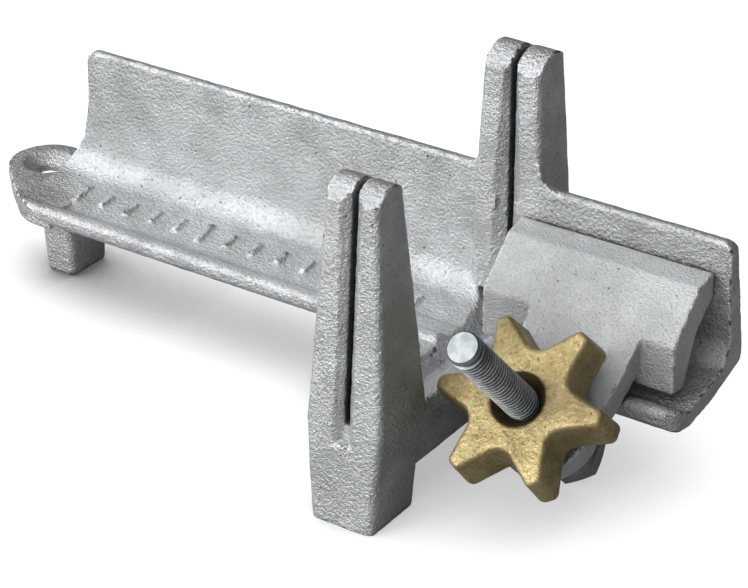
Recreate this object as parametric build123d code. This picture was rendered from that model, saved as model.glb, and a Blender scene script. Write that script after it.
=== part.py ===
from build123d import *
import math
import os

os.makedirs("parts", exist_ok=True)

# Sizes in millimetres. X runs along the conduit, +Y is towards the back wall, +Z is up.
# The origin is the centre of the front post's foot on the bench, in the plane of the saw blade.

# Trough that carries the conduit
trough_left = -164.0
body_right = 71.5
left_wall_top = 72.2
right_wall_top = 70.8
wall_end_top = -151.4
wall_end_bottom = -163.0
wall_corner = 4.0
lip_front = 44.5
lip_end_round = 4.5
ear_x = -172.5
ear_y = 73.0
ear_radius = 12.6
ear_top = 29.4
ear_bottom = 24.0
screw_hole = 7.0
screw_dish = 16.6
dish_depth = 2.6

# Blade slot and the wide groove that leads into it
slot_width = 1.8
slot_floor = 30.0
tray_groove_half = 8.5
tray_groove_floor = 25.2

# Front post
front_foot_front = -10.4
front_foot_back = 10.4
front_top_edge = 95.0
front_crest = 99.6

# Rear post
rear_top_edge = 104.0
rear_crest = 108.0

# Web that joins the posts under the tray
web_half = 8.0
web_bottom = 9.6
web_top = 29.0

# Left foot
foot_left = -163.5
foot_right = -151.5
foot_front = 58.0
foot_back = 75.0

# Clamp: the bolt leans forward, and the jaw face and both bolt lugs are square to it
clamp_angle = 47.0
bolt_x = 39.25
knob_face_y = 16.2
knob_face_z = 40.2
face_to_tongue = 17.8
tongue_thick = 8.0
lug_gap = 6.5
lug_thick = 8.9
tongue_half = 17.0
lug_half = 13.5
jaw_left = 6.0
jaw_right = 67.0
wall_gap = 0.45

# Bolt, 3/8 inch with 16 threads to the inch
bolt_radius = 4.7625
thread_pitch = 1.5875
thread_depth = 0.92
bolt_beyond_face = 38.9
hex_flats = 15.88
head_height = 4.8
hex_turn = -24.0
head_gap = 0.05
lug_hole = 10.6
tongue_hole = 11.2

# Star knob
arm_count = 6
knob_radius = 25.4
knob_thick = 14.0
hub_radius = 10.5
knob_bore = 4.83
dish_radius = 7.9
knob_dish_depth = 4.2
knob_gap = 0.35

lean = math.radians(clamp_angle)
axis_y = -math.cos(lean)
axis_z = math.sin(lean)


def on_axis(back):
    # The point on the bolt axis this far behind the knob's outer face
    return Vector(bolt_x, knob_face_y - axis_y * back, knob_face_z - axis_z * back)


def across_bolt(back):
    # A plane square to the bolt: local X along the part, local Y up the slope, local Z outwards
    return Plane(origin=on_axis(back), x_dir=(1, 0, 0), z_dir=(0, axis_y, axis_z))


def along_x(points, x_start, x_end, corners):
    # A cross-section in Y and Z, drawn out along X, with rounded corners where a radius is given
    with BuildSketch(Plane(origin=(x_start, 0, 0), x_dir=(0, 1, 0), z_dir=(1, 0, 0))) as section:
        with BuildLine():
            Polyline(*points, close=True)
        make_face()
        for (y, z), radius in corners:
            corner = section.vertices().sort_by_distance((y, z, 0))[0]
            fillet(corner, radius)
    return extrude(section.sketch, amount=x_end - x_start, dir=(1, 0, 0))


def slab_stack(levels):
    # A post lofted through rectangles given as (z, half width, front y, back y)
    with BuildPart() as post:
        for z, half, front, back in levels:
            with BuildSketch(Plane.XY.offset(z)):
                with Locations((0, (front + back) / 2)):
                    RectangleRounded(2 * half, back - front, 2.2)
        loft(ruled=True)
    return post.part


# ---------------------------------------------------------------- body casting

left_section = [
    (76.9, left_wall_top),
    (73.7, left_wall_top),
    (74.0, 36.0),
    (70.0, 31.4),
    (52.0, 28.0),
    (48.2, 30.6),
    (44.5, 30.6),
    (44.5, 25.2),
    (53.0, 23.8),
    (70.0, 26.6),
    (80.8, 33.0),
]
left_corners = [
    ((76.9, left_wall_top), 1.2),
    ((73.7, left_wall_top), 1.2),
    ((74.0, 36.0), 7.0),
    ((70.0, 31.4), 7.0),
    ((52.0, 28.0), 4.0),
    ((48.2, 30.6), 1.5),
    ((44.5, 30.6), 2.0),
    ((44.5, 25.2), 2.4),
    ((80.8, 33.0), 4.0),
]
right_section = [
    (75.8, right_wall_top),
    (72.2, right_wall_top),
    (72.4, 54.0),
    (74.2, 38.6),
    (70.0, 32.8),
    (57.0, 30.4),
    (51.0, 28.6),
    (48.2, 30.8),
    (44.5, 30.8),
    (44.5, 25.0),
    (53.0, 23.8),
    (64.0, 25.6),
    (80.8, 31.0),
    (81.4, 35.5),
    (79.0, 51.0),
]
right_corners = [
    ((75.8, right_wall_top), 2.0),
    ((72.2, right_wall_top), 1.5),
    ((74.2, 38.6), 3.5),
    ((70.0, 32.8), 3.5),
    ((51.0, 28.6), 2.5),
    ((48.2, 30.8), 1.5),
    ((44.5, 30.8), 2.0),
    ((44.5, 25.0), 2.4),
    ((80.8, 31.0), 2.0),
]
left_trough = along_x(left_section, trough_left, 0.0, left_corners)
right_trough = along_x(right_section, 0.0, body_right, right_corners)


def corner_trim(plane, corner, sides, radius, depth):
    # What lies outside the rounding of a square corner; the solid lies towards the given sides
    (across, along), (side_across, side_along) = corner, sides
    arc_start = (across + side_across * radius, along)
    arc_end = (across, along + side_along * radius)
    bulge = radius * (1 - math.sqrt(0.5))
    outer_across = across - side_across
    outer_along = along - side_along
    with BuildPart() as trim:
        with BuildSketch(plane):
            with BuildLine():
                ThreePointArc(
                    arc_start,
                    (across + side_across * bulge, along + side_along * bulge),
                    arc_end,
                )
                Polyline(arc_end, (outer_across, arc_end[1]), (outer_across, outer_along))
                Polyline((outer_across, outer_along), (arc_start[0], outer_along), arc_start)
            make_face()
        extrude(amount=depth)
    return trim.part


behind_walls = Plane(origin=(0, 95, 0), x_dir=(1, 0, 0), z_dir=(0, -1, 0))
left_wall_corner = corner_trim(
    behind_walls, (wall_end_top - 2.6, left_wall_top), (1, -1), wall_corner, 40
)
right_wall_corner = corner_trim(
    behind_walls, (body_right, right_wall_top), (-1, -1), wall_corner, 40
)
lip_corner = corner_trim(Plane.XY.offset(15), (body_right, lip_front), (-1, 1), lip_end_round, 20)

# The left end of the wall slopes outwards on its way down to the ear
with BuildPart() as wall_trim:
    with BuildSketch(behind_walls):
        with BuildLine():
            Polyline(
                (-200.0, 80.0),
                (wall_end_top - 2.6, 80.0),
                (wall_end_top - 2.6, 68.0),
                (wall_end_top - 3.6, 54.0),
                (wall_end_top - 6.2, 42.0),
                (wall_end_bottom - 1.0, 31.2),
                (-200.0, 31.2),
                close=True,
            )
        make_face()
    extrude(amount=40)

# The tray's left end narrows from the lip to a round ear
with BuildPart() as ear:
    with BuildSketch(Plane.XY.offset(ear_bottom)):
        with Locations((ear_x, ear_y)):
            Circle(ear_radius)
        with BuildLine():
            Polyline(
                (ear_x - 9.9, ear_y - 7.8),
                (-161.0, lip_front),
                (-148.0, lip_front),
                (-148.0, 79.0),
                (-161.0, 81.5),
                (ear_x - 4.0, ear_y + ear_radius - 0.7),
                close=True,
            )
        make_face()
    extrude(amount=ear_top - ear_bottom)

with BuildPart() as end_trim:
    with BuildSketch(Plane.XY.offset(10)):
        with BuildLine():
            ThreePointArc(
                (-153.0, lip_front - 0.1),
                (-158.8, lip_front + 1.1),
                (-163.8, lip_front + 4.0),
            )
            Polyline(
                (-163.8, lip_front + 4.0),
                (ear_x - 6.5, ear_y - 12.0),
                (-200.0, ear_y - 12.0),
                (-200.0, 30.0),
                (-153.0, 30.0),
                (-153.0, lip_front - 0.1),
            )
        make_face()
    extrude(amount=30)

front_post = slab_stack(
    [
        (0.0, 10.2, front_foot_front, front_foot_back),
        (14.0, 11.3, -9.9, 11.0),
        (30.0, 12.3, -8.8, 14.6),
        (50.0, 11.4, -6.6, 13.0),
        (front_crest + 1.0, 8.4, -2.3, 9.4),
    ]
)
rear_post = slab_stack(
    [
        (0.0, 11.4, 69.5, 90.4),
        (28.0, 12.4, 69.0, 90.2),
        (34.0, 12.2, 71.9, 90.0),
        (62.0, 11.3, 71.9, 89.2),
        (rear_crest + 1.0, 9.0, 73.9, 88.0),
    ]
)


def dome_cutter(front, back, edge_z, crest_z, back_z):
    # Everything above the rounded top of a post
    middle = (front + back) / 2
    with BuildPart() as cutter:
        with BuildSketch(Plane(origin=(-20, 0, 0), x_dir=(0, 1, 0), z_dir=(1, 0, 0))):
            with BuildLine():
                curve = Spline(
                    (front - 4.0, edge_z - 6.0),
                    (front + 0.6, edge_z + 1.2),
                    (middle, crest_z),
                    (back - 0.6, back_z + 1.0),
                    (back + 4.0, back_z - 6.0),
                )
                Polyline(
                    curve @ 1,
                    (back + 4.0, crest_z + 12.0),
                    (front - 4.0, crest_z + 12.0),
                    curve @ 0,
                )
            make_face()
        extrude(amount=40)
    return cutter.part


front_post = front_post - dome_cutter(-2.3, 9.6, front_top_edge, front_crest, 96.5)
rear_post = rear_post - dome_cutter(75.0, 88.4, rear_top_edge, rear_crest, 104.5)


def wall_blend(side, wall_top, front, back, reach, rise):
    # A hollow fillet that carries the top of a wall up into the side of the rear post
    inner = side * 9.0
    with BuildPart() as blend:
        with BuildSketch(Plane(origin=(0, back, 0), x_dir=(1, 0, 0), z_dir=(0, -1, 0))):
            with BuildLine():
                arc_start = (side * (10.6 + reach), wall_top - 0.6)
                arc_end = (side * 10.6, wall_top + rise)
                ThreePointArc(
                    arc_start,
                    (side * (10.6 + 0.27 * reach), wall_top - 0.6 + 0.29 * (rise + 0.6)),
                    arc_end,
                )
                Polyline(arc_end, (inner, wall_top + rise), (inner, wall_top - 3.0))
                Polyline((inner, wall_top - 3.0), (side * (10.6 + reach), wall_top - 3.0), arc_start)
            make_face()
        extrude(amount=back - front)
    return blend.part


left_blend = wall_blend(-1, left_wall_top, 73.9, 76.7, 4.0, 4.0)
right_blend = wall_blend(1, right_wall_top, 72.4, 75.6, 7.0, 7.0)

# Web and neck under the tray, from post to post, widening into the lip
with BuildPart() as web:
    with BuildSketch(Plane.XY.offset(web_bottom)) as neck:
        with Locations((0, 42)):
            Rectangle(2 * web_half, 76)
    extrude(amount=web_top - 2.0 - web_bottom)
    with BuildSketch(Plane.XY.offset(24.2)) as collar:
        with BuildLine():
            Polyline(
                (-9.0, 8.0),
                (9.0, 8.0),
                (9.4, 24.0),
                (22.0, 47.0),
                (22.0, 56.0),
                (-22.0, 56.0),
                (-22.0, 47.0),
                (-9.4, 24.0),
                close=True,
            )
        make_face()
        for side in (-1, 1):
            inner = collar.vertices().sort_by_distance((side * 9.4, 24.0, 0))[0]
            fillet(inner, 16)
    extrude(amount=5.0)

with BuildPart() as left_foot:
    with BuildSketch(Plane.XY.offset(26)):
        with Locations(((foot_left + foot_right) / 2, (foot_front + foot_back) / 2)):
            RectangleRounded(foot_right - foot_left + 1.4, foot_back - foot_front + 2.0, 2.5)
    with BuildSketch(Plane.XY.offset(0)):
        with Locations(((foot_left + foot_right) / 2, (foot_front + foot_back) / 2)):
            RectangleRounded(foot_right - foot_left - 0.6, foot_back - foot_front, 2.5)
    loft(ruled=True)
    fillet(left_foot.faces().sort_by(Axis.Z)[0].edges(), 1.6)

# Hooked lug under the tray that takes the pull of the bolt: its mouth is open towards +X
lug_front = face_to_tongue + tongue_thick + lug_gap
lug_mouth = lug_hole / 2
with BuildPart() as lug:
    with BuildSketch(across_bolt(lug_front + lug_thick)) as hook:
        with BuildLine():
            Polyline(
                (6.5, 24.0),
                (6.5, lug_mouth),
                (0.0, lug_mouth),
                (0.0, -lug_mouth),
                (-1.5, -lug_mouth - 4.0),
                (-lug_half + 3.0, -lug_mouth - 4.0),
                (-lug_half, -lug_mouth),
                (-lug_half, 24.0),
                close=True,
            )
        make_face()
    extrude(amount=lug_thick)

# Nothing of the lug may stand above the tray's floor or in front of the lip
with BuildPart() as lug_trim:
    with BuildSketch(Plane(origin=(10, 0, 0), x_dir=(0, 1, 0), z_dir=(1, 0, 0))):
        with BuildLine():
            Polyline(
                (20.0, 60.0),
                (20.0, 27.0),
                (46.0, 27.0),
                (54.0, 25.5),
                (64.0, 27.0),
                (90.0, 32.0),
                (90.0, 60.0),
                close=True,
            )
        make_face()
    extrude(amount=60)

# Raised marks along the tray, like a length scale
marks = []
for step in range(14):
    mark_length = 9.0 if step % 5 == 0 else 5.5
    mark = Box(1.9, mark_length, 2.2)
    marks.append(Pos(-148.0 + 9.6 * step, 60.5, 29.55) * Rot(10.6, 0, 0) * mark)

body = left_trough + ear.part + right_trough
body = body - wall_trim.part - end_trim.part
body = body - left_wall_corner - right_wall_corner - lip_corner
body = body + front_post + rear_post + left_blend + right_blend
body = body + web.part + left_foot.part + (lug.part - lug_trim.part) + marks

# Wide groove across the tray and up the face of the rear post
with BuildPart() as tray_groove:
    with BuildSketch(Plane(origin=(0, 12.0, 0), x_dir=(1, 0, 0), z_dir=(0, -1, 0))):
        with BuildLine():
            Polyline(
                (-0.9, tray_groove_floor),
                (0.9, tray_groove_floor),
                (tray_groove_half + 1.5, 34.0),
                (-tray_groove_half - 1.5, 34.0),
                close=True,
            )
        make_face()
    extrude(amount=-64.0)


def face_groove(top, bottom):
    # A shallow V running up a post, each end given as (z, half width, face y, depth)
    with BuildPart() as vee:
        for z, half, face, depth in (bottom, top):
            with BuildSketch(Plane.XY.offset(z)):
                with BuildLine():
                    Polyline(
                        (-half - 0.8, face - 0.8),
                        (half + 0.8, face - 0.8),
                        (0.85, face + depth),
                        (-0.85, face + depth),
                        close=True,
                    )
                make_face()
        loft(ruled=True)
    return vee.part


front_vee = face_groove((112.0, 3.9, -1.4, 2.4), (25.0, 3.6, -9.3, 2.4))
rear_vee = face_groove((112.0, 1.9, 74.0, 1.8), (28.0, 5.6, 71.9, 1.6))
# The blade slots are cut from the top of each post down to the slot floor
front_slot = Pos(0, 2, slot_floor + 45) * Box(slot_width, 36, 90)
rear_slot = Pos(0, 84, slot_floor + 45) * Box(slot_width, 30, 90)
body = body - tray_groove.part - front_vee - rear_vee - front_slot - rear_slot

# Screw hole with its dish in the ear
ear_hole = Pos(ear_x, ear_y, ear_bottom) * Cylinder(screw_hole / 2, 20)
ear_dish = Pos(ear_x, ear_y, ear_top - dish_depth / 2 + 0.01) * Cone(
    screw_hole / 2, screw_dish / 2, dish_depth
)
lug_bore = across_bolt(lug_front + lug_thick / 2).location * Cylinder(lug_hole / 2, 3 * lug_thick)
body = body - ear_hole - ear_dish - lug_bore
body.label = "body_casting"

# ---------------------------------------------------------------- clamp jaw

facet_origin = on_axis(face_to_tongue)


def facet_point(y, down=0.0):
    # A point of the sloping face at this Y, or the same distance below it square to the face
    rise = (y - facet_origin.Y) * math.tan(math.pi / 2 - lean)
    return (y - axis_y * down, facet_origin.Z + rise - axis_z * down)


jaw_back = 71.95 - wall_gap
jaw_section = [
    (jaw_back, 61.6),
    facet_point(63.6),
    facet_point(50.6),
    (50.2, 33.2),
    (56.6, 32.6),
    (59.2, 39.0),
    (62.6, 46.6),
    (68.4, 51.8),
    (jaw_back, 53.6),
]
jaw_corners = [
    ((jaw_back, 61.6), 1.0),
    (facet_point(63.6), 1.2),
    (facet_point(50.6), 3.0),
    ((50.2, 33.2), 0.8),
    ((56.6, 32.6), 1.2),
    ((59.2, 39.0), 8.0),
    ((62.6, 46.6), 4.0),
    ((68.4, 51.8), 4.0),
]
jaw = along_x(jaw_section, jaw_left, jaw_right, jaw_corners)

with BuildPart() as tongue:
    with BuildSketch(across_bolt(face_to_tongue + tongue_thick)) as tongue_outline:
        with BuildLine():
            Polyline(
                (-14.6, 0.0),
                (-tongue_half, 20.0),
                (-tongue_half - 0.6, 35.0),
                (tongue_half + 0.6, 35.0),
                (tongue_half, 20.0),
                (14.6, 0.0),
                close=True,
            )
        make_face()
        Circle(14.75)
    extrude(amount=tongue_thick)
tongue_bore = across_bolt(face_to_tongue + tongue_thick / 2).location * Cylinder(
    tongue_hole / 2, 3 * tongue_thick
)
# The hollow under the jaw stays open behind the tongue
with BuildPart() as jaw_hollow:
    with BuildSketch(Plane(origin=(jaw_left - 1, 0, 0), x_dir=(0, 1, 0), z_dir=(1, 0, 0))):
        with BuildLine():
            Polyline(
                (57.4, 20.0),
                (57.4, 34.5),
                (60.2, 41.0),
                (63.6, 46.0),
                (70.0, 50.5),
                (90.0, 50.5),
                (90.0, 20.0),
                close=True,
            )
        make_face()
    extrude(amount=80)
jaw = jaw + (tongue.part - jaw_hollow.part) - tongue_bore
jaw.label = "clamp_jaw"

# ---------------------------------------------------------------- clamp bolt

bearing_back = lug_front + lug_thick + head_gap
bolt_length = bolt_beyond_face + bearing_back
root_radius = bolt_radius - thread_depth
shank_length = 14.0
thread_start = shank_length + 1.0
thread_end = bolt_length - 2.4

# Built standing on its head's bearing face, then laid on the clamp axis
hexagon = Rot(0, 0, hex_turn) * RegularPolygon(hex_flats / math.sqrt(3), 6)
head = extrude(Pos(0, 0, -head_height) * hexagon, head_height)
upward = (Align.CENTER, Align.CENTER, Align.MIN)
head_round = Cone(hex_flats / 2 - 0.3, hex_flats / 2 + 12.0, 8.0, align=upward)
head = head & (Pos(0, 0, -head_height) * head_round)
shank = Cylinder(bolt_radius, shank_length, align=upward)
core = Cylinder(root_radius, bolt_length, align=upward)
tip_ring = Pos(0, 0, bolt_length - 1.4) * Cylinder(bolt_radius - 0.1, 0.7, align=upward)
tip = Pos(0, 0, bolt_length - 0.7) * Cone(bolt_radius - 0.1, bolt_radius - 0.62, 0.7, align=upward)

thread_path = Helix(pitch=thread_pitch, height=thread_end - thread_start, radius=root_radius)
with BuildSketch(Plane(origin=thread_path @ 0, x_dir=(1, 0, 0), z_dir=(0, -1, 0))) as ridge:
    with BuildLine():
        Polyline(
            (-0.2, -0.42 * thread_pitch),
            (-0.2, 0.42 * thread_pitch),
            (thread_depth, 0.07 * thread_pitch),
            (thread_depth, -0.07 * thread_pitch),
            close=True,
        )
    make_face()
thread = Pos(0, 0, thread_start) * sweep(ridge.sketch, path=thread_path, is_frenet=True)
bolt = core + thread + shank + head + tip_ring + tip
bolt = across_bolt(bearing_back).location * bolt
bolt.label = "clamp_bolt"

# ---------------------------------------------------------------- star knob

# Drawn flat with its outer face on top, then laid on the clamp axis
arm_tip_half = 2.5
valley_reach = 13.9
star_points = []
for arm in range(arm_count):
    turn = 2 * math.pi * arm / arm_count
    for along, across in ((knob_radius, -arm_tip_half), (knob_radius, arm_tip_half)):
        x = along * math.cos(turn) - across * math.sin(turn)
        y = along * math.sin(turn) + across * math.cos(turn)
        star_points.append((x, y))
    between = turn + math.pi / arm_count
    star_points.append((valley_reach * math.cos(between), valley_reach * math.sin(between)))
with BuildSketch() as star:
    with BuildLine():
        Polyline(*star_points, close=True)
    make_face()
    tips = [v for v in star.vertices() if math.hypot(v.X, v.Y) > 20]
    fillet(tips, 2.2)
    valleys = [v for v in star.vertices() if math.hypot(v.X, v.Y) < valley_reach + 0.5]
    fillet(valleys, 4.0)
with BuildPart() as knob_blank:
    add(Pos(0, 0, -knob_thick) * star.sketch)
    extrude(amount=knob_thick, taper=3)
    fillet(knob_blank.faces().sort_by(Axis.Z)[-1].edges(), 1.4)
    fillet(knob_blank.faces().sort_by(Axis.Z)[0].edges(), 1.6)
hub_height = face_to_tongue - knob_thick - knob_gap
hub = Cylinder(hub_radius, hub_height + 2.0, align=(Align.CENTER, Align.CENTER, Align.MAX))
face_dish = Cone(
    knob_bore + 0.4, dish_radius, knob_dish_depth, align=(Align.CENTER, Align.CENTER, Align.MAX)
)
knob = knob_blank.part + Pos(0, 0, -knob_thick + 2.0) * hub
knob = knob - Cylinder(knob_bore, 60) - Pos(0, 0, 0.01) * face_dish
knob = across_bolt(0).location * Rot(0, 0, 5.0) * knob
knob.label = "star_knob"

for piece in (body, jaw, bolt, knob):
    export_step(piece, "parts/" + piece.label + ".step")
    print(piece.label, piece.is_valid, len(piece.solids()), round(piece.volume))
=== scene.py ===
import bpy
import math
from mathutils import Matrix, Vector


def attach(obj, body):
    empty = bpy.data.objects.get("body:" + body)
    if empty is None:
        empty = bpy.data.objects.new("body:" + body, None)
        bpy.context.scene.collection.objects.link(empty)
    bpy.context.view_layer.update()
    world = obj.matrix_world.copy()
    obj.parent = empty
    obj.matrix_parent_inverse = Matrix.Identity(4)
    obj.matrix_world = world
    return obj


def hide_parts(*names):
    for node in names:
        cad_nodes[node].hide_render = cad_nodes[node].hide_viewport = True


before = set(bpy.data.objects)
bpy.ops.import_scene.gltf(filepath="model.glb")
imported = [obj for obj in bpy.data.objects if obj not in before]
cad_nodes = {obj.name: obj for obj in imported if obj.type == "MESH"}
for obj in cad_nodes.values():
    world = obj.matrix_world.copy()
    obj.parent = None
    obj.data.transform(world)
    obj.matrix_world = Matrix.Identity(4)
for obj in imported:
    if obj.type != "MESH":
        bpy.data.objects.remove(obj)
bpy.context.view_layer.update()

MM = 0.001
# Size of the voxels that the castings' skins are built from
VOXEL_MM = 0.45
# Heights between which the bolt's colour changes to the darker colour of its tip, in metres
TIP_BELOW = 0.060
TIP_ABOVE = 0.067

# Camera
CAMERA_PLACE = (0.37461, -0.52362, 0.42309)
CAMERA_AZIMUTH = 35.22
CAMERA_ELEVATION = 28.93
CAMERA_ROLL = -0.87
CAMERA_LENS = 135.16

# Studio
STUDIO_BRIGHT_SIDE = (-0.56, -0.68, 0.38)
STUDIO_TINT = (0.97, 0.98, 1.0)
KEY_PLACE = (-0.70, -1.25, 0.78)
KEY_AIM = (-0.02, 0.03, 0.04)
OVERHEAD_PLACE = (-0.5, -0.9, 1.5)
OVERHEAD_AIM = (0.0, 0.1, 0.0)
FLOOR_HALF = 4.0
FLOOR_SHADOW_REACH_MM = 50.0
# The shadow is deep left of the first place, under the trough, and faint right of the second
DEEP_SHADOW_X = -0.06
FAINT_SHADOW_X = 0.03
FLOOR_SEEN = (0.12, 0.12, 0.12)
FLOOR_LIT = (0.32, 0.32, 0.32)

# Colours of the castings
# Bare worn metal on the edges, made lighter still as a painted highlight
BARE_EDGE_AND_HIGHLIGHT = (0.84, 0.85, 0.86)
# Painted glints scattered over the sandy faces
PAINTED_GLINT = (0.86, 0.87, 0.88)
CHIP = (0.05, 0.05, 0.05)
# Painted shade in inner corners
CORNER_SHADE = (0.10, 0.10, 0.10)
PIT = (0.035, 0.035, 0.036)
# Painted shade in slots and deep corners
SLOT_SHADE = (0.012, 0.012, 0.013)

# Colours of the knob
GOLD_DARK = (0.28, 0.21, 0.095)
GOLD_LIGHT = (0.44, 0.345, 0.165)
GOLD_GREEN = (0.27, 0.31, 0.125)
GOLD_PINK = (0.62, 0.40, 0.30)
GOLD_SPECK = (0.10, 0.074, 0.033)
# Painted shade in the knob's recesses
GOLD_SHADE = (0.06, 0.046, 0.02)

# Colours of the bolt
ZINC_DARK = (0.48, 0.51, 0.52)
ZINC_LIGHT = (0.66, 0.69, 0.70)
# Darker colour towards the bolt's tip
ZINC_TIP_DARK = (0.22, 0.24, 0.245)
# Painted shade between the threads
THREAD_SHADE = (0.02, 0.022, 0.025)


# Node helpers
def new_material(name):
    material = bpy.data.materials.new(name)
    material.use_nodes = True
    return material, material.node_tree


def add_node(tree, kind, settings=None, **sockets):
    """A node with its settings, and its sockets linked or filled in; _ stands for a space."""
    node = tree.nodes.new(kind)
    for key, value in (settings or {}).items():
        setattr(node, key, value)
    for key, value in sockets.items():
        fill(tree, node.inputs[key.replace("_", " ")], value)
    return node


def fill(tree, socket, value):
    """Link the socket to another one, or give it a number or a colour."""
    if isinstance(value, bpy.types.NodeSocket):
        tree.links.new(value, socket)
    elif socket.type == "RGBA" and len(value) == 3:
        socket.default_value = (*value, 1.0)
    else:
        socket.default_value = value


def object_place(tree):
    return add_node(tree, "ShaderNodeTexCoord").outputs["Object"]


def along(tree, place, axis):
    return add_node(tree, "ShaderNodeSeparateXYZ", Vector=place).outputs[axis]


def noise(tree, place, size_mm, detail=3.0, rough=0.5, twist=0.0):
    """Noise whose lumps are about size_mm across."""
    node = add_node(
        tree,
        "ShaderNodeTexNoise",
        Vector=place,
        Scale=1.0 / (size_mm * MM),
        Detail=detail,
        Roughness=rough,
        Distortion=twist,
    )
    return node.outputs["Fac"]


def cells(tree, place, size_mm):
    """Distance to the nearest of scattered points about size_mm apart."""
    node = add_node(tree, "ShaderNodeTexVoronoi", Vector=place, Scale=1.0 / (size_mm * MM))
    return node.outputs["Distance"]


def remap(tree, value, low, high, to_low=0.0, to_high=1.0):
    """Smooth step from to_low at low to to_high at high."""
    node = add_node(
        tree,
        "ShaderNodeMapRange",
        {"interpolation_type": "SMOOTHSTEP"},
        Value=value,
        From_Min=low,
        From_Max=high,
        To_Min=to_low,
        To_Max=to_high,
    )
    return node.outputs["Result"]


def maths(tree, operation, first, second):
    node = add_node(tree, "ShaderNodeMath", {"operation": operation})
    for socket, value in zip(node.inputs, (first, second)):
        fill(tree, socket, value)
    return node.outputs["Value"]


def times(tree, first, second):
    return maths(tree, "MULTIPLY", first, second)


def mix_colour(tree, share, first, second):
    node = add_node(tree, "ShaderNodeMix", {"data_type": "RGBA"})
    sockets = [socket for socket in node.inputs if socket.enabled]
    for socket, value in zip(sockets, (share, first, second)):
        fill(tree, socket, value)
    return [socket for socket in node.outputs if socket.enabled][0]


def shelter(tree, reach_mm, low, high):
    """From 0 in the open to 1 in a deep corner; it masks painted shade."""
    node = add_node(
        tree, "ShaderNodeAmbientOcclusion", {"samples": 6}, Distance=reach_mm * MM
    )
    return remap(tree, node.outputs["AO"], high, low)


def edge_amount(tree, none, full):
    """From 0 at the first pointiness to 1 at the second; flat is 0.5, and edges are above it."""
    geometry = add_node(tree, "ShaderNodeNewGeometry")
    return remap(tree, geometry.outputs["Pointiness"], none, full)


def add_bump(tree, shader, height, depth_mm, strength=1.0):
    bump = add_node(
        tree, "ShaderNodeBump", Height=height, Strength=strength, Distance=depth_mm * MM
    )
    tree.links.new(bump.outputs["Normal"], shader.inputs["Normal"])


# Materials
def cast_material(name, light, dark, rough_low, rough_high, grain_mm, bump_mm, pits, wear):
    """Sand-cast metal under silver paint: sandy grain, dark pits, bare worn edges with dark chips
    and a painted highlight, painted glints, and painted shade in inner corners and slots.
    """
    material, tree = new_material(name)
    shader = tree.nodes["Principled BSDF"]
    place = object_place(tree)
    blotches = noise(tree, place, 14.0, detail=4.0, rough=0.6)
    grain = noise(tree, place, grain_mm, detail=4.0, rough=0.62)
    sparkle = noise(tree, place, grain_mm * 0.35, detail=2.0)
    pit_round = remap(tree, cells(tree, place, 2.6), 0.16, 0.06)
    pit_group = remap(tree, noise(tree, place, 5.0, rough=0.6), 0.53, 0.62)
    pit = times(tree, pit_round, pit_group)
    grain_hollow = times(tree, remap(tree, grain, 0.42, 0.30), 0.55)
    painted_glint_spot = remap(tree, sparkle, 0.60, 0.72, 0.0, 0.55)
    edge = edge_amount(tree, 0.508, 0.535)
    chips = remap(tree, noise(tree, place, 2.4, detail=4.0, rough=0.7), 0.51, 0.56)
    worn = times(tree, times(tree, edge, chips), wear)
    painted_corner_shade = times(tree, edge_amount(tree, 0.487, 0.45), 0.6)

    colour = mix_colour(tree, remap(tree, blotches, 0.35, 0.65), dark, light)
    colour = mix_colour(tree, grain_hollow, colour, [channel * 0.45 for channel in dark])
    # Painted glints on scattered grains
    colour = mix_colour(tree, painted_glint_spot, colour, PAINTED_GLINT)
    # Bare worn metal on the edges, with a painted highlight along them
    colour = mix_colour(tree, times(tree, edge, 0.45), colour, BARE_EDGE_AND_HIGHLIGHT)
    colour = mix_colour(tree, worn, colour, CHIP)
    # Painted shade in inner corners
    colour = mix_colour(tree, painted_corner_shade, colour, CORNER_SHADE)
    colour = mix_colour(tree, times(tree, pit, pits), colour, PIT)
    # Painted shade in slots and deep corners
    colour = mix_colour(tree, shelter(tree, 7.0, 0.12, 0.5), colour, SLOT_SHADE)
    tree.links.new(colour, shader.inputs["Base Color"])
    shader.inputs["Metallic"].default_value = 0.92
    tree.links.new(remap(tree, grain, 0.3, 0.7, rough_high, rough_low), shader.inputs["Roughness"])

    height = maths(tree, "ADD", grain, times(tree, sparkle, 0.25))
    height = maths(tree, "SUBTRACT", height, times(tree, pit, 0.8))
    add_bump(tree, shader, height, bump_mm)
    return material


def gold_material():
    """Yellow-passivated casting: gold with green and pink speckle, and painted shade in its
    recesses.
    """
    material, tree = new_material("gold_passivated")
    shader = tree.nodes["Principled BSDF"]
    place = object_place(tree)
    clouds = noise(tree, place, 8.0, detail=4.0, rough=0.6)
    speckle = noise(tree, place, 1.1, detail=4.0, rough=0.65)
    green = noise(tree, place, 1.7, rough=0.6, twist=0.4)
    painted_recess_shade = times(tree, shelter(tree, 14.0, 0.25, 0.95), 0.85)
    colour = mix_colour(tree, remap(tree, clouds, 0.35, 0.65), GOLD_DARK, GOLD_LIGHT)
    colour = mix_colour(tree, remap(tree, green, 0.54, 0.64, 0.0, 0.6), colour, GOLD_GREEN)
    colour = mix_colour(tree, remap(tree, speckle, 0.58, 0.68, 0.0, 0.6), colour, GOLD_PINK)
    colour = mix_colour(tree, remap(tree, speckle, 0.43, 0.31, 0.0, 0.65), colour, GOLD_SPECK)
    # Painted shade in the knob's recesses
    colour = mix_colour(tree, painted_recess_shade, colour, GOLD_SHADE)
    tree.links.new(colour, shader.inputs["Base Color"])
    shader.inputs["Metallic"].default_value = 0.75
    tree.links.new(remap(tree, speckle, 0.3, 0.7, 0.55, 0.36), shader.inputs["Roughness"])
    add_bump(tree, shader, speckle, 0.34)
    return material


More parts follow.
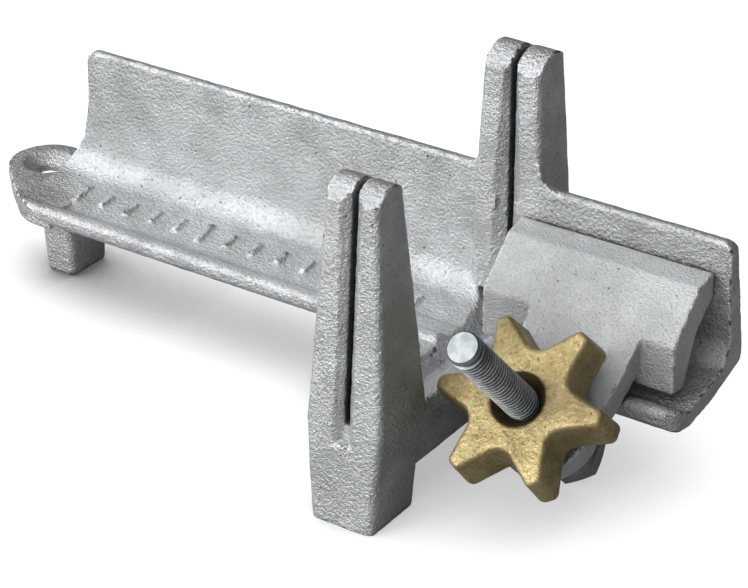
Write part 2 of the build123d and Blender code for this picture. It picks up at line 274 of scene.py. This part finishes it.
def zinc_material():
    """Bright zinc plating, with painted shade between the threads and a darker colour towards the
    tip.
    """
    material, tree = new_material("zinc_plated")
    shader = tree.nodes["Principled BSDF"]
    place = object_place(tree)
    clouds = noise(tree, place, 3.0, detail=4.0, rough=0.6)
    scratches = noise(tree, place, 0.35, rough=0.6)
    tip = remap(tree, along(tree, place, "Z"), TIP_BELOW, TIP_ABOVE)
    tip_darkening = times(tree, tip, remap(tree, clouds, 0.35, 0.65, 1.0, 0.8))
    colour = mix_colour(tree, remap(tree, clouds, 0.35, 0.65), ZINC_DARK, ZINC_LIGHT)
    # Darker colour towards the tip, above TIP_BELOW
    colour = mix_colour(tree, tip_darkening, colour, ZINC_TIP_DARK)
    # Painted shade between the threads
    colour = mix_colour(tree, shelter(tree, 1.8, 0.68, 0.98), colour, THREAD_SHADE)
    tree.links.new(colour, shader.inputs["Base Color"])
    shader.inputs["Metallic"].default_value = 1.0
    tree.links.new(remap(tree, clouds, 0.3, 0.7, 0.46, 0.34), shader.inputs["Roughness"])
    add_bump(tree, shader, scratches, 0.03, strength=0.5)
    return material


# Pieces
def cast_piece(node, body, material, voxel_mm, soften, lumps):
    """A casting's visible skin: the CAD shape with its edges rounded over and its faces sandy."""
    name = f"{node}_skin"
    skin = bpy.data.objects.new(name, cad_nodes[node].data.copy())
    bpy.context.scene.collection.objects.link(skin)
    weld = skin.modifiers.new("weld", "WELD")
    weld.merge_threshold = 0.002 * MM
    remesh = skin.modifiers.new("remesh", "REMESH")
    remesh.mode = "VOXEL"
    remesh.voxel_size = voxel_mm * MM
    smooth = skin.modifiers.new("soften", "SMOOTH")
    smooth.factor = 0.5
    smooth.iterations = soften
    for size_mm, height_mm in lumps:
        texture = bpy.data.textures.new(f"{name}_{size_mm}", "CLOUDS")
        texture.noise_scale = size_mm * MM
        texture.noise_depth = 2
        displace = skin.modifiers.new(f"lumps_{size_mm}", "DISPLACE")
        displace.texture = texture
        displace.texture_coords = "LOCAL"
        displace.strength = height_mm * MM
        displace.mid_level = 0.5
    depsgraph = bpy.context.evaluated_depsgraph_get()
    mesh = bpy.data.meshes.new_from_object(skin.evaluated_get(depsgraph))
    skin.modifiers.clear()
    skin.data = mesh
    mesh.materials.clear()
    mesh.materials.append(material)
    mesh.shade_smooth()
    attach(skin, body)
    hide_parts(node)


body_silver = cast_material(
    "cast_silver",
    light=(0.55, 0.56, 0.565),
    dark=(0.43, 0.438, 0.442),
    rough_low=0.34,
    rough_high=0.54,
    grain_mm=1.0,
    bump_mm=0.7,
    pits=0.9,
    wear=0.85,
)
jaw_silver = cast_material(
    "cast_silver_fine",
    light=(0.61, 0.62, 0.625),
    dark=(0.51, 0.52, 0.522),
    rough_low=0.38,
    rough_high=0.56,
    grain_mm=0.7,
    bump_mm=0.62,
    pits=0.5,
    wear=0.55,
)
gold = gold_material()
zinc = zinc_material()

# Lumps are given as (size, height) in millimetres
body_lumps = ((5.0, 0.3), (2.0, 0.10))
jaw_lumps = ((6.0, 0.2),)
knob_lumps = ((4.0, 0.2),)
cast_piece("body_casting", "body", body_silver, VOXEL_MM, 4, body_lumps)
cast_piece("clamp_jaw", "jaw", jaw_silver, VOXEL_MM, 5, jaw_lumps)
cast_piece("star_knob", "knob", gold, VOXEL_MM * 0.8, 10, knob_lumps)

bolt = cad_nodes["clamp_bolt"]
bolt.data.materials.clear()
bolt.data.materials.append(zinc)


# Floor, light and camera
def pale_floor():
    """Pale floor whose soft shadow comes from what stands close above it."""
    material, tree = new_material("pale_floor")
    shader = tree.nodes["Principled BSDF"]
    seen = add_node(tree, "ShaderNodeLightPath").outputs["Is Camera Ray"]
    tree.links.new(mix_colour(tree, seen, FLOOR_LIT, FLOOR_SEEN), shader.inputs["Base Color"])
    shader.inputs["Roughness"].default_value = 0.9
    shader.inputs["Specular IOR Level"].default_value = 0.1
    shader.inputs["Emission Color"].default_value = (1.0, 1.0, 1.0, 1.0)
    reach = FLOOR_SHADOW_REACH_MM * MM
    open_sky = add_node(tree, "ShaderNodeAmbientOcclusion", {"samples": 16}, Distance=reach)
    shade = remap(tree, open_sky.outputs["AO"], 0.86, 0.20)
    across = along(tree, object_place(tree), "X")
    depth = remap(tree, across, DEEP_SHADOW_X, FAINT_SHADOW_X, 1.02, 0.45)
    glow = maths(tree, "SUBTRACT", 1.0, times(tree, shade, depth))
    glow = maths(tree, "MAXIMUM", glow, 0.10)
    tree.links.new(times(tree, seen, glow), shader.inputs["Emission Strength"])
    mesh = bpy.data.meshes.new("floor")
    corners = [
        (-FLOOR_HALF, -FLOOR_HALF, 0.0),
        (FLOOR_HALF, -FLOOR_HALF, 0.0),
        (FLOOR_HALF, FLOOR_HALF, 0.0),
        (-FLOOR_HALF, FLOOR_HALF, 0.0),
    ]
    mesh.from_pydata(corners, [], [(0, 1, 2, 3)])
    mesh.materials.append(material)
    floor = bpy.data.objects.new("floor", mesh)
    bpy.context.scene.collection.objects.link(floor)


def soft_light(name, place, aim, size, power):
    light = bpy.data.lights.new(name, "AREA")
    light.shape = "DISK"
    light.size = size
    light.energy = power
    lamp = bpy.data.objects.new(name, light)
    lamp.location = place
    lamp.rotation_mode = "QUATERNION"
    lamp.rotation_quaternion = (Vector(aim) - Vector(place)).to_track_quat("-Z", "Y")
    bpy.context.scene.collection.objects.link(lamp)


def studio_world():
    """White studio, bright in front on the left and dark behind on the right."""
    world = bpy.data.worlds.new("studio")
    world.use_nodes = True
    tree = world.node_tree
    direction = add_node(tree, "ShaderNodeTexCoord").outputs["Generated"]
    towards = add_node(tree, "ShaderNodeVectorMath", {"operation": "DOT_PRODUCT"})
    tree.links.new(direction, towards.inputs[0])
    towards.inputs[1].default_value = Vector(STUDIO_BRIGHT_SIDE).normalized()
    strength = remap(tree, towards.outputs["Value"], 0.08, 0.95, 0.13, 2.0)
    background = tree.nodes["Background"]
    background.inputs["Color"].default_value = (*STUDIO_TINT, 1.0)
    tree.links.new(strength, background.inputs["Strength"])
    bpy.context.scene.world = world


def aim_camera():
    azimuth = math.radians(CAMERA_AZIMUTH)
    elevation = math.radians(CAMERA_ELEVATION)
    roll = math.radians(CAMERA_ROLL)
    side = Vector((math.cos(azimuth), math.sin(azimuth), 0.0))
    back_x = math.sin(azimuth) * math.cos(elevation)
    back_y = -math.cos(azimuth) * math.cos(elevation)
    back = Vector((back_x, back_y, math.sin(elevation)))
    over = back.cross(side)
    right = side * math.cos(roll) + over * math.sin(roll)
    up = over * math.cos(roll) - side * math.sin(roll)
    lens = bpy.data.cameras.new("camera")
    lens.lens = CAMERA_LENS
    lens.sensor_width = 36.0
    lens.clip_start = 0.01
    lens.clip_end = 100.0
    camera = bpy.data.objects.new("camera", lens)
    bpy.context.scene.collection.objects.link(camera)
    turn = Matrix((right, up, back)).transposed().to_4x4()
    camera.matrix_world = Matrix.Translation(CAMERA_PLACE) @ turn
    bpy.context.scene.camera = camera


pale_floor()
studio_world()
soft_light("key", KEY_PLACE, KEY_AIM, size=0.9, power=15.0)
soft_light("overhead", OVERHEAD_PLACE, OVERHEAD_AIM, size=1.2, power=0.9)
aim_camera()

scene = bpy.context.scene
scene.view_settings.view_transform = "Standard"
scene.view_settings.look = "None"
